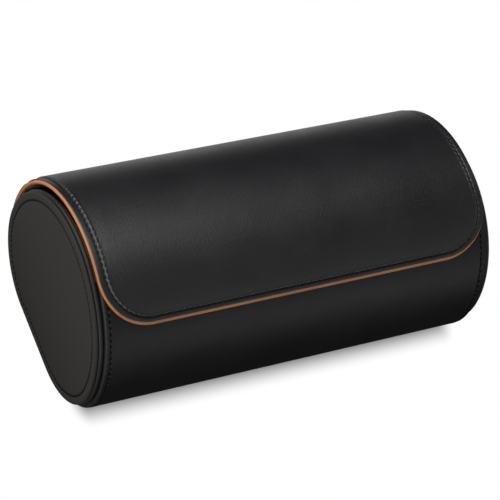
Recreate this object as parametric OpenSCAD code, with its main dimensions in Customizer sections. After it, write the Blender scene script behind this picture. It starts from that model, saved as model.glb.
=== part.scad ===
// Watch travel case: a leather-covered roll with a flat base, two flat ends and a hinged flap.
// Inside are three compartments, each with a loose watch pillow.
// The case stands on its base at Z = 0, its length runs along X and its front faces -Y.
// The section of the case is a half circle on top, two large lower corners and a flat base.
// Places on that section are given as s, the length along the outer skin from the widest
// line at the back, positive upwards, and g, the height above the skin.

/* [Case] */
// Overall length, over both end panels
case_l = 195; // [170:1:240]
// Radius of the rounded top, which is half the depth of the body
top_r = 50; // [46:1:56]
// Radius of the two lower corners; what is left between them is the flat base
corner_r = 34; // [30:1:40]
// Thickness of the outer leather
leather_t = 1; // [0.6:0.1:1.4]
// Thickness of the stiff board in the body wall
board_t = 2.2; // [1.8:0.1:3]
// Thickness of the suede lining
lining_t = 0.6; // [0.4:0.1:0.8]
// Gap between pieces that only lie next to each other inside the case
fit_gap = 0.1; // [0.05:0.05:0.2]

/* [Ends] */
// Thickness of the padded end panel
panel_t = 1.6; // [1.2:0.1:2.4]
// How far the rim of an end panel lies inside the body's skin
panel_inset = 2.2; // [1.6:0.1:2.6]
// Width of the beaded welt between an end panel and the body
welt_w = 2.3; // [1.8:0.1:3]
// Thickness of the board behind an end panel
end_board_t = 2.8; // [2:0.1:3.4]

/* [Flap] */
// Angle of the flap's free edge round the section, from the back
flap_edge_angle = 137.5; // [120:0.5:150]
// Length along the skin by which the flap covers the front wall
overlap = 22; // [18:1:28]
// Distance from the end of the case to the flap's side edge
flap_inset = 3.4; // [2.5:0.1:6]
// Radius of the flap's two front corners
flap_corner_r = 22; // [10:1:26]
// Thickness of the flap's outer leather
flap_leather_t = 0.8; // [0.6:0.1:1.2]
// Thickness of the flap's board
flap_board_t = 1.2; // [1.1:0.1:1.6]
// Thickness of the flap's suede lining
flap_lining_t = 0.5; // [0.3:0.1:0.8]
// Gap between the closed flap and the body
flap_gap = 0.3; // [0.3:0.05:0.6]
// How far the painted edge stands out from the leather's cut edge
edge_t = 0.4; // [0.3:0.1:0.6]

/* [Hinge] */
// Angle of the fold line round the section, from the back
hinge_angle = 20; // [16:1:26]
// Width of the bare leather that folds
fold_w = 9; // [8:0.5:12]
// Length along the skin of the sewn tab below the widest line
tab_drop = 14; // [10:1:20]
// Radius of the tab's lower corners
tab_corner_r = 6; // [3:1:8]

/* [Magnets] */
// Diameter of the magnets and of the steel discs
magnet_d = 10; // [8:0.5:11]
// Thickness of a magnet
magnet_t = 0.8; // [0.5:0.1:0.8]
// Thickness of a steel disc
disc_t = 1.2; // [0.8:0.1:1.3]
// Distance between the two magnets
magnet_pitch = 100; // [70:1:130]

/* [Compartments] */
// Thickness of a divider's board
divider_board_t = 2; // [1.5:0.1:3]
// Width of a pillow, from front to back
pillow_w = 70; // [60:1:74]
// Height of a pillow
pillow_h = 50; // [44:1:52]
// Largest radius of a pillow's long edges
pillow_r = 24; // [18:1:24]
// Gap between a pillow and each side of its compartment
pillow_gap = 1.5; // [1:0.25:3]
// Thickness of a pillow's suede cover
cover_t = 1; // [0.6:0.1:1.5]
// Gap under a pillow
pillow_rest_gap = 0.3; // [0.2:0.05:0.5]

/* [Hidden] */
$fn = 96;

// the section
base_half = top_r - corner_r;
mid_z = corner_r;
wall_t = leather_t + board_t;
wall_in = wall_t + lining_t;
flap_lining_g = flap_gap;
flap_board_g = flap_lining_g + flap_lining_t;
flap_leather_g = flap_board_g + flap_board_t;
flap_outer_g = flap_leather_g + flap_leather_t;
// the back of the tab is the backmost point, and the origin lies half way between front and back
section_y = -flap_outer_g / 2;

// stations along the length, from one end of the case
body_x = panel_t + welt_w;
end_lining_x = panel_t + end_board_t;
room_x = end_lining_x + lining_t;
room_l = case_l - 2 * room_x;
divider_t = divider_board_t + 2 * lining_t;
cell_l = (room_l - 2 * divider_t) / 3;
cell_pitch = cell_l + divider_t;
flap_half = case_l / 2 - flap_inset - edge_t;

// a low pillow's edges take as much of the radius as its height leaves
pillow_edge_r = min(pillow_r, pillow_h / 2 - fit_gap);

// stations along the skin
hinge_s = skin_length(hinge_angle);
tab_top_s = hinge_s - fold_w / 2;
flap_root_s = hinge_s + fold_w / 2;
flap_end_s = skin_length(flap_edge_angle) - edge_t;
lip_s = flap_end_s + edge_t - overlap;
lip_angle = skin_angle(lip_s);
back_top_angle = skin_angle(tab_top_s);
turn_angle = skin_angle(leather_t);
magnet_angle = skin_angle((lip_s + flap_end_s) / 2 + edge_t);

// flat part of a welt's sides, by which it lies against the panel and the body
welt_seat = 0.3;
// clearance round and over a disc in its pocket, and between a painted edge and its leather
pocket_gap = 0.1;
magnet_seat = 0.05;
edge_seat = 0.02;
// height that a flat disc's rim stands off the curve under it
disc_rim = top_r - sqrt(top_r * top_r - magnet_d * magnet_d / 4);
disc_g = -leather_t - pocket_gap - disc_rim;
// steps along the skin, and a length that reaches past the whole section
row_step = 2.5;
corner_rows = 12;
far = 4 * top_r;

function skin_length(angle) = angle * PI / 180 * top_r;
function skin_angle(s) = s / top_r * 180 / PI;

// the point of the case at s along the skin, x along the length and g above the skin
function skin_point(s, x, g) =
    let(r = s >= 0 ? top_r : corner_r, a = s / r * 180 / PI)
    [x, top_r - r + (r + g) * cos(a), mid_z + (r + g) * sin(a)];

// rows of a sheet from s_a to s_b, as [s, half length, direction of the edge's normal]
function sheet_rows(s_a, s_b, half, r_c) =
    let(dir = sign(s_b - s_a), plain = abs(s_b - s_a) - r_c, n = ceil(plain / row_step))
    concat(
        [for (i = [0 : n]) [s_a + dir * plain * i / n, half, 0]],
        r_c == 0 ? [] : [for (i = [1 : corner_rows]) let(f = 90 * i / corner_rows)
            [s_a + dir * (plain + r_c * sin(f)), half - r_c * (1 - cos(f)), f]]
    );

// faces of a tube of n rings with m points each, closed at both ends
function tube_faces(n, m, flip) =
    let(sides = [for (i = [0 : n - 2], k = [0 : m - 1], half = [0, 1])
            let(a = i * m + k, b = i * m + (k + 1) % m)
            half == 0 ? [a, b, b + m] : [a, b + m, a + m]],
        ends = [[for (k = [m - 1 : -1 : 0]) k], [for (k = [0 : m - 1]) (n - 1) * m + k]],
        all = concat(sides, ends))
    flip ? [for (f = all) [for (k = [len(f) - 1 : -1 : 0]) f[k]]] : all;

// a sheet that lies on the section between the heights g_in and g_out
module sheet(rows, g_in, g_out) {
    points = [for (r = rows, c = [[-1, g_in], [1, g_in], [1, g_out], [-1, g_out]])
        skin_point(r[0], c[0] * r[1], c[1])];
    polyhedron(points, tube_faces(len(rows), 4, rows[1][0] > rows[0][0]), convexity = 4);
}

// a strip along a sheet's two sides and its rounded front; its section is [distance out, height]
module edge_strip(rows, section) {
    dir = sign(rows[1][0] - rows[0][0]);
    n = len(rows);
    walk = concat([for (i = [0 : n - 1]) [rows[i], 1]], [for (i = [n - 1 : -1 : 0]) [rows[i], -1]]);
    points = [for (w = walk, p = section) let(row = w[0])
        skin_point(row[0] + dir * sin(row[2]) * p[0], w[1] * (row[1] + cos(row[2]) * p[0]), p[1])];
    polyhedron(points, tube_faces(2 * n, len(section), dir > 0), convexity = 6);
}

// section of a painted edge: two thin layers with a fine groove between them
function edge_section(g_in, g_out) =
    let(split = g_out - flap_leather_t, nick = edge_t / 2)
    [[edge_seat, g_in], [edge_t - nick, g_in], [edge_t, g_in + nick], [edge_t, split - nick],
     [edge_t - nick, split], [edge_t, split + nick], [edge_t, g_out - nick],
     [edge_t - nick, g_out], [edge_seat, g_out]];

// outline of the case's section, grown by g
module outline(g = 0) {
    translate([0, mid_z]) intersection() {
        circle(top_r + g);
        translate([-far / 2, 0]) square([far, far]);
    }
    for (side = [-1, 1]) translate([side * base_half, mid_z]) intersection() {
        circle(corner_r + g);
        translate([side > 0 ? 0 : -far, -far]) square([far, far]);
    }
    translate([-base_half, -g]) square([2 * base_half, mid_z + g]);
}

// the part of the plane between two directions from the centre of the top
module wedge(a0, a1) {
    translate([0, mid_z]) polygon([[0, 0], far * [cos(a0), sin(a0)],
        far * [cos((a0 + a1) / 2), sin((a0 + a1) / 2)], far * [cos(a1), sin(a1)]]);
}

// turns a drawing of the section, so that its height becomes the length along X
module along_x(x) {
    translate([x, 0, 0]) rotate([90, 0, 90]) children();
}

// sweeps a small section round the outline; its x is the height above the skin
module round_outline() {
    translate([0, mid_z]) rotate_extrude(angle = 180) translate([top_r, 0]) children();
    translate([base_half, mid_z]) rotate(-90)
        rotate_extrude(angle = 90) translate([corner_r, 0]) children();
    translate([-base_half, mid_z]) rotate(180)
        rotate_extrude(angle = 90) translate([corner_r, 0]) children();
    translate([base_half, 0]) rotate([90, 0, -90]) linear_extrude(2 * base_half) children();
}

// the left end as drawn, or its mirror image at the right end
module at_end(side) {
    mirror([side > 0 ? 1 : 0, 0, 0]) along_x(-case_l / 2) children();
}

// a flat disc that faces outwards, with its outer face g above the skin
module skin_disc(d, t, g) {
    for (side = [-1, 1]) translate([side * magnet_pitch / 2, 0, mid_z])
        rotate([magnet_angle - 90, 0, 0]) translate([0, 0, top_r + g - t]) cylinder(h = t, d = d);
}

module placed() {
    translate([0, section_y, 0]) children();
}

module wall_section(g_out, g_in) {
    difference() {
        outline(g_out);
        outline(g_in);
        wedge(back_top_angle, lip_angle);
    }
}

module body_leather() {
    color("#1d1d1e") placed() along_x(-case_l / 2 + body_x) linear_extrude(case_l - 2 * body_x) {
        difference() {
            outline(0);
            outline(-leather_t);
            wedge(back_top_angle, lip_angle);
        }
        // turned over the edges of the board, at the front lip and at the top of the back
        for (a = [lip_angle - turn_angle, back_top_angle]) intersection() {
            difference() {
                outline(0);
                outline(-wall_in);
            }
            wedge(a, a + turn_angle);
        }
    }
}

module body_board() {
    color("#8a7a64") placed() difference() {
        along_x(-case_l / 2 + body_x) linear_extrude(case_l - 2 * body_x)
            wall_section(-leather_t, -wall_t);
        skin_disc(magnet_d + 2 * pocket_gap, disc_t + magnet_seat - disc_g, 0);
    }
}

module body_lining() {
    color("#b0703c") placed() along_x(-case_l / 2 + room_x) linear_extrude(room_l)
        wall_section(-wall_t, -wall_in);
}

module end_panel(side) {
    color("#2f2d2a") placed() at_end(side) {
        linear_extrude(panel_t) outline(-panel_inset - panel_t / 2);
        round_outline() translate([-panel_inset - panel_t / 2, panel_t / 2]) circle(panel_t / 2);
    }
}

module welt(side) {
    color("#242322") placed() at_end(side) translate([0, 0, panel_t]) difference() {
        union() {
            linear_extrude(welt_w) outline(-wall_t + welt_seat);
            round_outline() translate([-wall_t + welt_seat, welt_w / 2]) circle(welt_w / 2);
        }
        translate([0, 0, -fit_gap]) linear_extrude(welt_w + 2 * fit_gap) outline(-wall_t);
    }
}

module end_board(side) {
    color("#8a7a64") placed() at_end(side) translate([0, 0, panel_t])
        linear_extrude(end_board_t) outline(-wall_t - fit_gap);
}

module end_lining(side) {
    color("#b0703c") placed() at_end(side) translate([0, 0, end_lining_x])
        linear_extrude(lining_t) outline(-wall_t - fit_gap);
}

module divider_board(side) {
    color("#8a7a64") placed() along_x(side * cell_pitch / 2 - divider_board_t / 2)
        linear_extrude(divider_board_t) outline(-wall_in - fit_gap - lining_t);
}

module divider_cover(side) {
    color("#a56836") placed() difference() {
        along_x(side * cell_pitch / 2 - divider_t / 2)
            linear_extrude(divider_t) outline(-wall_in - fit_gap);
        along_x(side * cell_pitch / 2 - divider_board_t / 2)
            linear_extrude(divider_board_t) outline(-wall_in - fit_gap - lining_t);
    }
}

// steel discs under the leather of the front wall, which the magnets hold on to
module catch_discs() {
    color("silver") placed() skin_disc(magnet_d, disc_t, disc_g);
}

module flap_magnets() {
    color("silver") placed() skin_disc(magnet_d, magnet_t, flap_board_g + magnet_seat + magnet_t);
}

flap_rows = sheet_rows(flap_root_s, flap_end_s, flap_half, flap_corner_r);
tab_rows = sheet_rows(tab_top_s, -tab_drop, flap_half, tab_corner_r);
fold_rows = sheet_rows(tab_top_s, flap_root_s, flap_half, 0);

module flap_leather() {
    color("#232427") placed() sheet(flap_rows, flap_leather_g, flap_outer_g);
}

module flap_board() {
    color("#8a7a64") placed() difference() {
        sheet(flap_rows, flap_board_g, flap_leather_g);
        skin_disc(magnet_d + 2 * pocket_gap, 3 * flap_board_t, flap_leather_g + flap_board_t);
    }
}

module flap_lining() {
    color("#b0703c") placed() sheet(flap_rows, flap_lining_g, flap_board_g);
}

module flap_edge() {
    color("#c98053") placed() edge_strip(flap_rows, edge_section(flap_lining_g, flap_outer_g));
}

module tab_board() {
    color("#8a7a64") placed() sheet(tab_rows, fit_gap, flap_leather_g);
}

module tab_leather() {
    color("#232427") placed() sheet(tab_rows, flap_leather_g, flap_outer_g);
}

module tab_edge() {
    color("#c98053") placed() edge_strip(tab_rows, edge_section(fit_gap, flap_outer_g));
}

module hinge_fold() {
    color("#232427") placed() sheet(fold_rows, flap_leather_g, flap_outer_g);
}

module hinge_lining() {
    color("#b0703c") placed() sheet(fold_rows, flap_lining_g, flap_board_g);
}

// a pillow's section, with its skin taken in by t
module pillow_outline(t) {
    for (y = [-1, 1], z = [-1, 1])
        translate([y * (pillow_w / 2 - pillow_edge_r), pillow_h / 2 + z * (pillow_h / 2 - pillow_edge_r)])
            circle(pillow_edge_r - t);
    translate([-pillow_w / 2 + pillow_edge_r, t])
        square([pillow_w - 2 * pillow_edge_r, pillow_h - 2 * t]);
    translate([-pillow_w / 2 + t, pillow_edge_r])
        square([pillow_w - 2 * t, pillow_h - 2 * pillow_edge_r]);
}

module pillow_solid(cell, t) {
    length = cell_l - 2 * pillow_gap - 2 * t;
    translate([0, 0, wall_in + pillow_rest_gap]) along_x(cell * cell_pitch - length / 2)
        linear_extrude(length) pillow_outline(t);
}

module pillow_core(cell) {
    color("#d8d2c4") placed() pillow_solid(cell, cover_t);
}

module pillow_cover(cell) {
    color("#b97a45") placed() difference() {
        pillow_solid(cell, 0);
        pillow_solid(cell, cover_t);
    }
}

body_leather();
body_board();
body_lining();
end_panel(-1);  // left_end_panel
welt(-1);  // left_welt
end_board(-1);  // left_end_board
end_lining(-1);  // left_end_lining
end_panel(1);  // right_end_panel
welt(1);  // right_welt
end_board(1);  // right_end_board
end_lining(1);  // right_end_lining
divider_board(-1);  // left_divider_board
divider_cover(-1);  // left_divider_cover
divider_board(1);  // right_divider_board
divider_cover(1);  // right_divider_cover
catch_discs();
tab_board();
tab_leather();
tab_edge();
hinge_fold();
hinge_lining();
flap_board();
flap_leather();
flap_lining();
flap_edge();
flap_magnets();
pillow_core(-1);  // left_pillow_core
pillow_cover(-1);  // left_pillow_cover
pillow_core(0);  // middle_pillow_core
pillow_cover(0);  // middle_pillow_cover
pillow_core(1);  // right_pillow_core
pillow_cover(1);  // right_pillow_cover
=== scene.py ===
import math

import bmesh
import bpy
import numpy as np
from mathutils import Matrix, Vector
from mathutils.bvhtree import BVHTree


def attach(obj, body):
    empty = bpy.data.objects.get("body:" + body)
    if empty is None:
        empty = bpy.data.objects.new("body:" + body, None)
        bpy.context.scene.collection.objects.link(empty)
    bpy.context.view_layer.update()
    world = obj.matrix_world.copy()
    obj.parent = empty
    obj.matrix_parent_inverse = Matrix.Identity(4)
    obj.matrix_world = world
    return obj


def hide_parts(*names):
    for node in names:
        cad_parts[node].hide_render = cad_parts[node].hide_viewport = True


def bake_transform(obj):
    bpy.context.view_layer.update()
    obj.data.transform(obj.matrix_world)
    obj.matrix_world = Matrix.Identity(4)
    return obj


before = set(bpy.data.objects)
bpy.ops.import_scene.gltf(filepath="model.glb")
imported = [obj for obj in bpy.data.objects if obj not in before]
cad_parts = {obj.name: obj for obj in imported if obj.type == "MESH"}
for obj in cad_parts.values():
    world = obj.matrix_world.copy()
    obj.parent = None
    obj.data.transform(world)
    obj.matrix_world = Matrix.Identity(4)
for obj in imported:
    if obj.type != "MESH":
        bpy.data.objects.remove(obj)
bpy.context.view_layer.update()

mm = 0.001
print("frame loaded:", len(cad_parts), "solids")

# the case, in millimetres, with the same values as the part's source
case = {
    "length": 195.0,
    "topRadius": 50.0,
    "cornerRadius": 34.0,
    "forward": -1.4,        # shift of the section along Y
    "wall": 3.2,
    "wallInside": 3.8,
    "panel": 1.6,
    "panelInset": 2.2,      # of the end panels' rim, from the skin
    "welt": 2.3,
    "weltSeat": 0.3,
    "roomStart": 5.0,       # from an end of the case to the room inside
    "divider": 3.2,
}
# the flap and its sewn tab are cut as one sheet; s runs along the skin from the widest line at the back
flap = {
    "tabEnd": -14.0,
    "tabTop": 12.95,
    "root": 21.95,
    "end": 119.59,
    "half": 93.7,
    "tabCorner": 6.0,
    "frontCorner": 22.0,
    "lip": 97.99,           # upper edge of the case's front wall
    "under": 0.3,
    "boardUnder": 0.8,
    "leatherUnder": 2.0,
    "leatherTop": 2.8,
}
stitching = {
    "pitch": 2.7,
    "endPitch": 2.5,        # on the end panels
    "length": 0.8,          # of a stitch, as a part of the pitch
    "endLength": 0.42,
    "thread": 0.31,         # radius
    "bow": 0.42,
}


def baseHalf():
    return case["topRadius"] - case["cornerRadius"]


def circumference():
    return math.pi * (case["topRadius"] + case["cornerRadius"]) + 2 * baseHalf()


def outlinePoint(s, g):
    # place on the section at s along the skin and g above it
    top = case["topRadius"]
    low = case["cornerRadius"]
    s = s % circumference()
    topEnd = math.pi * top
    frontEnd = topEnd + math.pi / 2 * low
    baseEnd = frontEnd + 2 * baseHalf()
    if s <= topEnd:
        a = s / top
        y, z = (top + g) * math.cos(a), low + (top + g) * math.sin(a)
    elif s <= frontEnd:
        a = math.pi + (s - topEnd) / low
        y, z = -baseHalf() + (low + g) * math.cos(a), low + (low + g) * math.sin(a)
    elif s <= baseEnd:
        y, z = -baseHalf() + s - frontEnd, -g
    else:
        a = 1.5 * math.pi + (s - baseEnd) / low
        y, z = baseHalf() + (low + g) * math.cos(a), low + (low + g) * math.sin(a)
    return y + case["forward"], z


def skinPoint(s, x, g):
    return (x, *outlinePoint(s, g))


def skinNormal(s):
    y0, z0 = outlinePoint(s, 0)
    y1, z1 = outlinePoint(s, 1)
    return 0.0, y1 - y0, z1 - z0


# nodes: what goes into a socket is a plain value, an output, or a node that stands for its first output

def putIn(tree, socket, value):
    if isinstance(value, bpy.types.Node):
        value = value.outputs[0]
    if isinstance(value, bpy.types.NodeSocket):
        tree.links.new(value, socket)
    else:
        socket.default_value = value


def addNode(tree, kind, sockets=None, **settings):
    node = tree.nodes.new(kind)
    for key, value in settings.items():
        setattr(node, key, value)
    for key, value in (sockets or {}).items():
        putIn(tree, node.inputs[key], value)
    return node


def newTree(name, kind, inputs, outputs):
    # inputs: name, kind and first value of each socket
    tree = bpy.data.node_groups.new(name, kind)
    for side, sockets in (("INPUT", inputs), ("OUTPUT", outputs)):
        for socketName, socketKind, *value in sockets:
            socket = tree.interface.new_socket(socketName, in_out=side, socket_type="NodeSocket" + socketKind)
            if value:
                socket.default_value = value[0]
    return tree, addNode(tree, "NodeGroupInput"), addNode(tree, "NodeGroupOutput")


def mathNode(tree, operation, *values):
    return addNode(tree, "ShaderNodeMath", dict(enumerate(values)), operation=operation)


def mapRange(tree, value, low, high, start=0.0, stop=1.0, curve="SMOOTHSTEP"):
    sockets = {"Value": value, "From Min": low, "From Max": high, "To Min": start, "To Max": stop}
    return addNode(tree, "ShaderNodeMapRange", sockets, interpolation_type=curve)


def noiseNode(tree, vector, scale, detail, roughness, distortion=0.0):
    return addNode(tree, "ShaderNodeTexNoise", {"Vector": vector, "Scale": scale, "Detail": detail,
                                                "Roughness": roughness, "Distortion": distortion})


def mixColours(tree, factor, low, high):
    sockets = {"Factor": factor}
    for key, colour in ((6, low), (7, high)):
        sockets[key] = colour if isinstance(colour, bpy.types.NodeSocket) else (*colour, 1)
    return addNode(tree, "ShaderNodeMix", sockets, data_type="RGBA").outputs[2]


def mixShaders(tree, factor, first, second):
    return addNode(tree, "ShaderNodeMixShader", {0: factor, 1: first, 2: second})


def makeGrainGroup():
    # fine leather grain: small cells, finer pores between them and a slow change of tone
    tree, start, end = newTree("leatherGrain", "ShaderNodeTree",
                               [("Vector", "Vector"), ("Grain Size", "Float", 0.0008)],
                               [("Height", "Float"), ("Tone", "Float")])
    vector, size = start.outputs["Vector"], start.outputs["Grain Size"]
    scale = mathNode(tree, "DIVIDE", 1.0, size)
    warp = noiseNode(tree, vector, mathNode(tree, "MULTIPLY", scale, 0.5), 2.0, 0.5)
    reach = mathNode(tree, "MULTIPLY", size, 0.7)
    shift = addNode(tree, "ShaderNodeVectorMath", {0: warp.outputs["Color"], "Scale": reach},
                    operation="SCALE")
    place = addNode(tree, "ShaderNodeVectorMath", {0: vector, 1: shift}, operation="ADD")
    cells = addNode(tree, "ShaderNodeTexVoronoi", {"Vector": place, "Scale": scale},
                    feature="DISTANCE_TO_EDGE")
    rounded = mapRange(tree, cells, 0.0, 0.22)
    pores = noiseNode(tree, vector, mathNode(tree, "MULTIPLY", scale, 2.6), 4.0, 0.65)
    slow = noiseNode(tree, vector, 38.0, 5.0, 0.6)
    putIn(tree, end.inputs["Height"], mathNode(tree, "MULTIPLY_ADD", pores, 0.5, rounded))
    putIn(tree, end.inputs["Tone"], slow)
    return tree


def makeNapGroup():
    # suede: short fibres, with patches where the nap was stroked another way
    tree, start, end = newTree("suedeNap", "ShaderNodeTree",
                               [("Vector", "Vector"), ("Fibre Size", "Float", 0.0005)],
                               [("Height", "Float"), ("Tone", "Float")])
    vector = start.outputs["Vector"]
    scale = mathNode(tree, "DIVIDE", 1.0, start.outputs["Fibre Size"])
    fibres = noiseNode(tree, vector, scale, 6.0, 0.75, 0.6)
    patches = noiseNode(tree, vector, 55.0, 4.0, 0.55, 1.2)
    mixed = mathNode(tree, "MULTIPLY_ADD", fibres, 0.45, patches)
    putIn(tree, end.inputs["Height"], fibres)
    putIn(tree, end.inputs["Tone"], mathNode(tree, "MULTIPLY", mixed, 0.69))
    return tree


def makePuckerGroup():
    # the pull of each stitch on the skin beside a sewn line, and painted shade in the dip it lies in; reads a
    # UV map
    dip, dash = (0.0003, 0.0008), (0.45, 0.8)
    tree, start, end = newTree("seamPucker", "ShaderNodeTree",
                               [("Seam UV", "Vector"), ("Pitch", "Float", 0.0027), ("Line", "Float", 0.003),
                                ("Reach", "Float", 0.0012)],
                               [("Height", "Float"), ("Hole", "Float")])
    parts = addNode(tree, "ShaderNodeSeparateXYZ", {0: start.outputs["Seam UV"]})
    away = mathNode(tree, "ABSOLUTE", mathNode(tree, "SUBTRACT", parts.outputs["Y"], start.outputs["Line"]))
    near = mapRange(tree, away, 0.0, start.outputs["Reach"], 1.0, 0.0)
    turns = mathNode(tree, "DIVIDE", parts.outputs["X"], start.outputs["Pitch"])
    wave = mathNode(tree, "ABSOLUTE", mathNode(tree, "COSINE", mathNode(tree, "MULTIPLY", turns, math.pi)))
    height = mathNode(tree, "MULTIPLY", mathNode(tree, "POWER", wave, 1.5), near)
    # painted shade: a dark dash at each stitch, in a narrow band along the sewn line
    paintedShade = mathNode(tree, "MULTIPLY", mapRange(tree, away, *dip, 1.0, 0.0), mapRange(tree, wave, *dash))
    putIn(tree, end.inputs["Height"], height)
    putIn(tree, end.inputs["Hole"], paintedShade)
    return tree


grainGroup = makeGrainGroup()
napGroup = makeNapGroup()
puckerGroup = makePuckerGroup()


# materials

def newMaterial(name):
    material = bpy.data.materials.new(name)
    material.use_nodes = True
    return material, material.node_tree, material.node_tree.nodes["Principled BSDF"]


def placeVector(tree, uvName=None):
    if uvName:
        return addNode(tree, "ShaderNodeUVMap", uv_map=uvName)
    return addNode(tree, "ShaderNodeTexCoord").outputs["Object"]


def useGroup(tree, group, sockets):
    return addNode(tree, "ShaderNodeGroup", sockets, node_tree=group)


def setPlain(shader, **values):
    for key, value in values.items():
        shader.inputs[key.replace("_", " ")].default_value = value


def toneRoughness(tree, shader, tone, smooth, rough):
    putIn(tree, shader.inputs["Roughness"], mapRange(tree, tone, 0.3, 0.7, smooth, rough, "LINEAR"))


def raised(tree, height, depth):
    return mathNode(tree, "MULTIPLY", height, depth * mm)


def bumpFrom(tree, shader, height):
    bump = addNode(tree, "ShaderNodeBump", {"Strength": 1.0, "Distance": 1.0, "Height": height})
    putIn(tree, shader.inputs["Normal"], bump)


paintedStitchShade = (0.002, 0.002, 0.002)      # colour of painted shade in the dip under a stitch
# dark to light and smooth to rough go with the texture's tone, depth with its height in millimetres;
# pitch, line, reach and pull say where the stitches lie and how far they draw the skin in
suedeLook = {"nap": 0.0006, "smooth": 0.8, "rough": 0.95, "depth": 0.05, "specular": 0.15,
             "dark": (0.27, 0.125, 0.052), "light": (0.43, 0.22, 0.105), "sheen": (0.95, 0.72, 0.5)}
threadLook = {"fibres": (4200.0, 2.0, 0.6), "smooth": 0.42, "rough": 0.6, "depth": 0.03, "specular": 0.3}
metalLook = {"fibres": (1.0, 3.0, 0.6), "brushed": (300.0, 9000.0, 9000.0), "metallic": 1.0}
looks = {
    "flapLeather": {"dark": (0.0058, 0.0061, 0.0074), "light": (0.0098, 0.0101, 0.0118), "grain": 0.001,
                    "smooth": 0.35, "rough": 0.43, "depth": 0.032, "specular": 1.0, "uv": "skin",
                    "pitch": stitching["pitch"], "line": 3.3, "reach": 1.3, "pull": 0.22},
    "bodyLeather": {"dark": (0.0052, 0.0052, 0.0052), "light": (0.0088, 0.0088, 0.0087), "grain": 0.0009,
                    "smooth": 0.44, "rough": 0.52, "depth": 0.024, "specular": 0.4, "uv": "skin",
                    "pitch": stitching["pitch"], "line": 2.2, "reach": 1.4, "pull": 0.26},
    "endLeather": {"dark": (0.025, 0.0235, 0.0205), "light": (0.034, 0.032, 0.0275), "grain": 0.0006,
                   "smooth": 0.6, "rough": 0.68, "depth": 0.01, "specular": 0.25,
                   "pitch": stitching["endPitch"], "line": 6.05, "reach": 1.2, "pull": 0.24},
    "weltLeather": {"dark": (0.011, 0.0105, 0.01), "light": (0.018, 0.0175, 0.0165), "grain": 0.0005,
                    "smooth": 0.44, "rough": 0.55, "depth": 0.014, "specular": 0.4},
    "liningSuede": {**suedeLook, "uv": "skin"},
    "panelSuede": suedeLook,
    "pillowSuede": {**suedeLook, "depth": 0.06, "dark": (0.31, 0.15, 0.066), "light": (0.48, 0.26, 0.13),
                    "sheen": (0.95, 0.74, 0.54)},
    "pipingSuede": {**suedeLook, "nap": 0.0004, "depth": 0.03, "dark": (0.17, 0.075, 0.03),
                    "light": (0.27, 0.125, 0.055), "sheen": (0.9, 0.65, 0.45)},
    "blackThread": {**threadLook, "dark": (0.003, 0.003, 0.0035), "light": (0.012, 0.012, 0.013)},
    "dullThread": {**threadLook, "dark": (0.0018, 0.0018, 0.0018), "light": (0.005, 0.005, 0.005),
                   "specular": 0.05},
    "tanThread": {**threadLook, "dark": (0.3, 0.17, 0.085), "light": (0.5, 0.31, 0.17)},
    "fibreBoard": {"fibres": (900.0, 6.0, 0.7, 1.5), "dark": (0.2, 0.145, 0.09),
                   "light": (0.36, 0.27, 0.175), "smooth": 0.75, "rough": 0.9, "depth": 0.06},
    "foam": {"cells": 1400.0, "dark": (0.55, 0.51, 0.43), "light": (0.72, 0.69, 0.61),
             "smooth": 0.85, "rough": 0.95, "depth": 0.2},
    "steel": {**metalLook, "dark": (0.42, 0.42, 0.43), "light": (0.6, 0.6, 0.61),
              "smooth": 0.28, "rough": 0.42},
    "nickel": {**metalLook, "dark": (0.6, 0.58, 0.54), "light": (0.74, 0.72, 0.68),
               "smooth": 0.15, "rough": 0.25},
}


def addTexture(tree, look):
    # tone and height of the texture that a look names
    place = placeVector(tree, look.get("uv"))
    if "brushed" in look:
        place = addNode(tree, "ShaderNodeMapping", {"Vector": place, "Scale": look["brushed"]})
    if "fibres" in look:
        fibres = noiseNode(tree, place, *look["fibres"])
        return fibres, fibres
    if "cells" in look:
        cells = addNode(tree, "ShaderNodeTexVoronoi", {"Vector": place, "Scale": look["cells"]})
        return cells, cells
    if "nap" in look:
        texture = useGroup(tree, napGroup, {"Vector": place, "Fibre Size": look["nap"]})
    else:
        texture = useGroup(tree, grainGroup, {"Vector": place, "Grain Size": look["grain"]})
    return texture.outputs["Tone"], texture.outputs["Height"]


def makeMaterial(name, look):
    material, tree, shader = newMaterial(name)
    tone, height = addTexture(tree, look)
    colour = mixColours(tree, tone, look["dark"], look["light"])
    if "depth" in look:
        height = raised(tree, height, look["depth"])
        if "pitch" in look:
            seam = useGroup(tree, puckerGroup,
                            {"Seam UV": placeVector(tree, "seam"), "Pitch": look["pitch"] * mm,
                             "Line": look["line"] * mm, "Reach": look["reach"] * mm})
            height = mathNode(tree, "ADD", height, raised(tree, seam.outputs["Height"], look["pull"]))
            # paints the shade of the stitch dips into the colour
            colour = mixColours(tree, seam.outputs["Hole"], colour, paintedStitchShade)
        bumpFrom(tree, shader, height)
    putIn(tree, shader.inputs["Base Color"], colour)
    toneRoughness(tree, shader, tone, look["smooth"], look["rough"])
    setPlain(shader, Specular_IOR_Level=look.get("specular", 0.5), Metallic=look.get("metallic", 0.0))
    if "sheen" in look:
        setPlain(shader, Sheen_Weight=0.35, Sheen_Roughness=0.45, Sheen_Tint=(*look["sheen"], 1))
    return material


paint = {
    "thick": (0.66, 0.25, 0.1),         # the lower layer
    "thickDark": (0.52, 0.185, 0.07),
    "thin": (0.5, 0.3, 0.18),           # the upper layer
    "groove": (0.06, 0.027, 0.015),     # painted shade in the fine groove between them
    "grooveLevel": 1.0,
    "grooveReach": 0.128,
}


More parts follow.
